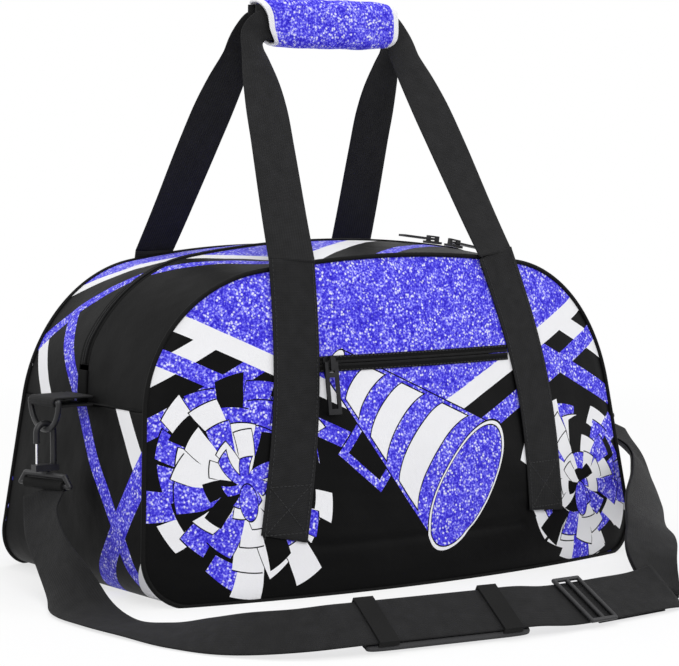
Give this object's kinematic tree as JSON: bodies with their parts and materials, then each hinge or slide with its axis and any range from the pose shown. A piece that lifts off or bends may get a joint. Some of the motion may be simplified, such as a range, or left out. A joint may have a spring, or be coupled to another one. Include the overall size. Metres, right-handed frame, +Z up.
{
  "type": "duffel bag",
  "caption": "Soft travel duffel bag with zip mouth, front zip pocket, twin carry handles in a padded wrap and a clip-on shoulder strap.",
  "frame": {"origin": "centre of the flat base, on the surface the bag stands on", "axes": "+X to the bag's right end seen from the front, -Y out of the front panel with the pocket, +Z up"},
  "size_m": [0.5595, 0.4622, 0.417],
  "materials": {
    "printed_fabric": "printed polyester with a glitter print",
    "wrap_fabric": "printed padded fabric",
    "lining_fabric": "black polyester",
    "base_board": "stiff board",
    "zip_coil": "nylon coil",
    "zip_tape": "woven tape",
    "zip_metal": "black painted zinc",
    "gate_wire": "bright spring wire",
    "black_plastic": "moulded black plastic",
    "pad_fabric": "padded woven fabric",
    "webbing": "black ribbed webbing"
  },
  "bodies": {
    "bag": {"back_panel": "printed_fabric", "base_board": "base_board", "bottom_panel": "lining_fabric", "front_panel": "printed_fabric", "gusset_back": "printed_fabric", "gusset_front": "printed_fabric", "handle_leg_back_left": "webbing", "handle_leg_back_right": "webbing", "handle_leg_front_left": "webbing", "handle_leg_front_right": "webbing", "handle_sewn_run_back_left": "webbing", "handle_sewn_run_back_right": "webbing", "handle_sewn_run_front_left": "webbing", "handle_sewn_run_front_right": "webbing", "left_end_panel": "printed_fabric", "pocket_lining": "lining_fabric", "pocket_zip_coil": "zip_coil", "pocket_zip_tape": "zip_tape", "right_end_panel": "printed_fabric", "ring_tab_left": "webbing", "ring_tab_right": "webbing", "zip_end_left": "zip_tape", "zip_end_right": "zip_tape"},
    "lip_front": {"zip_tape_front": "zip_tape", "zip_coil_front": "zip_coil"},
    "lip_back": {"zip_tape_back": "zip_tape", "zip_coil_back": "zip_coil"},
    "main_slider_left": {"main_slider_left": "zip_metal"},
    "main_pull_left": {"main_pull_left": "zip_metal"},
    "main_slider_right": {"main_slider_right": "zip_metal"},
    "main_pull_right": {"main_pull_right": "zip_metal"},
    "pocket_slider": {"pocket_slider": "zip_metal"},
    "pocket_pull": {"pocket_pull": "zip_metal"},
    "grip": {"grip_web_front": "webbing", "grip_web_back": "webbing", "grip_wrap": "wrap_fabric"},
    "wrap_flap": {"wrap_flap": "wrap_fabric"},
    "ring_left": {"d_ring_left": "black_plastic"},
    "ring_right": {"d_ring_right": "black_plastic"},
    "strap": {"strap_front_run": "webbing", "strap_right_run": "webbing", "strap_return_layer": "webbing", "web_end_left": "webbing", "web_end_right": "webbing", "web_loop_left": "black_plastic", "web_loop_right": "black_plastic"},
    "hook_left": {"snap_hook_left": "black_plastic"},
    "hook_right": {"snap_hook_right": "black_plastic"},
    "gate_left": {"hook_gate_left": "gate_wire"},
    "gate_right": {"hook_gate_right": "gate_wire"},
    "shoulder_pad": {"shoulder_pad": "pad_fabric", "pad_keepers": "webbing"},
    "strap_slider": {"strap_slider": "black_plastic"}
  },
  "joints": [
    {"name": "mouth_open_front", "type": "hinge", "parent": "bag", "child": "lip_front", "pos_m": [0, 0, 0.15], "axis": [1, 0, 0], "range_deg": [0, 25], "deforming": ["gusset_front"]},
    {"name": "mouth_open_back", "type": "hinge", "parent": "bag", "child": "lip_back", "pos_m": [0, 0, 0.15], "axis": [-1, 0, 0], "range_deg": [0, 25], "deforming": ["gusset_back"]},
    {"name": "main_slider_left_run", "type": "hinge", "parent": "bag", "child": "main_slider_left", "pos_m": [0, 0, -0.558], "axis": [0, 1, 0], "range_deg": [-14.92, 0]},
    {"name": "main_slider_right_run", "type": "hinge", "parent": "bag", "child": "main_slider_right", "pos_m": [0.10005, 0, 0.11763], "axis": [0, 1, 0], "range_deg": [0, 44]},
    {"name": "main_pull_left_flip", "type": "hinge", "parent": "main_slider_left", "child": "main_pull_left", "pos_m": [0.10331, 0, 0.23747], "axis": [0, 1, 0], "range_deg": [0, 120]},
    {"name": "main_pull_right_flip", "type": "hinge", "parent": "main_slider_right", "child": "main_pull_right", "pos_m": [0.12408, 0, 0.23433], "axis": [0, -1, 0], "range_deg": [0, 120]},
    {"name": "pocket_slider_run", "type": "hinge", "parent": "bag", "child": "pocket_slider", "pos_m": [0, 0.71353, 0.158], "axis": [0, 0, 1], "range_deg": [0, 9.6]},
    {"name": "pocket_pull_flip", "type": "hinge", "parent": "pocket_slider", "child": "pocket_pull", "pos_m": [-0.07043, -0.11021, 0.15886], "axis": [-0.9964, 0.0852, 0], "range_deg": [0, 120]},
    {"name": "grip_drop", "type": "slide", "parent": "bag", "child": "grip", "axis": [0, 0, -1], "range_m": [0, 0.115], "deforming": ["handle_leg_front_left", "handle_leg_front_right", "handle_leg_back_left", "handle_leg_back_right"]},
    {"name": "wrap_flap_open", "type": "hinge", "parent": "grip", "child": "wrap_flap", "pos_m": [0, 0.0143, 0.4115], "axis": [1, 0, 0], "range_deg": [0, 120]},
    {"name": "ring_left_tilt", "type": "hinge", "parent": "bag", "child": "ring_left", "pos_m": [-0.23603, 0, 0.133], "axis": [0, 1, 0], "range_deg": [-3, 3]},
    {"name": "ring_right_tilt", "type": "hinge", "parent": "bag", "child": "ring_right", "pos_m": [0.23603, 0, 0.133], "axis": [0, 1, 0], "range_deg": [-3, 1]},
    {"name": "strap_swing", "type": "hinge", "parent": "bag", "child": "strap", "pos_m": [0, 0, 0.133], "axis": [-1, 0, 0], "range_deg": [0, 30]},
    {"name": "hook_left_swivel", "type": "hinge", "parent": "strap", "child": "hook_left", "pos_m": [-0.23603, 0, 0.1109], "axis": [0, 0, -1], "range_deg": [-12, 12]},
    {"name": "gate_left_open", "type": "hinge", "parent": "hook_left", "child": "gate_left", "pos_m": [-0.24263, 0, 0.0893], "axis": [0, 1, 0], "range_deg": [0, 15], "stiffness_Nm_per_rad": 0.01, "springref_deg": -2.86},
    {"name": "hook_right_swivel", "type": "hinge", "parent": "strap", "child": "hook_right", "pos_m": [0.23708, -0.01252, 0.11513], "axis": [0.5, -0.4967, -0.7094], "range_deg": [-12, 12]},
    {"name": "gate_right_open", "type": "hinge", "parent": "hook_right", "child": "gate_right", "pos_m": [0.2536, -0.02135, 0.10251], "axis": [0, -0.8191, 0.5736], "range_deg": [0, 15], "stiffness_Nm_per_rad": 0.01, "springref_deg": -2.86},
    {"name": "pad_slide", "type": "slide", "parent": "strap", "child": "shoulder_pad", "axis": [0.9923, -0.124, 0], "range_m": [-0.008, 0.008]},
    {"name": "strap_adjust", "type": "slide", "parent": "strap", "child": "strap_slider", "axis": [0.9909, 0.1321, -0.0248], "range_m": [-0.006, 0.006]}
  ],
  "couplings": [
    {"joint": "mouth_open_back", "follows": "mouth_open_front", "ratio": 1}
  ]
}
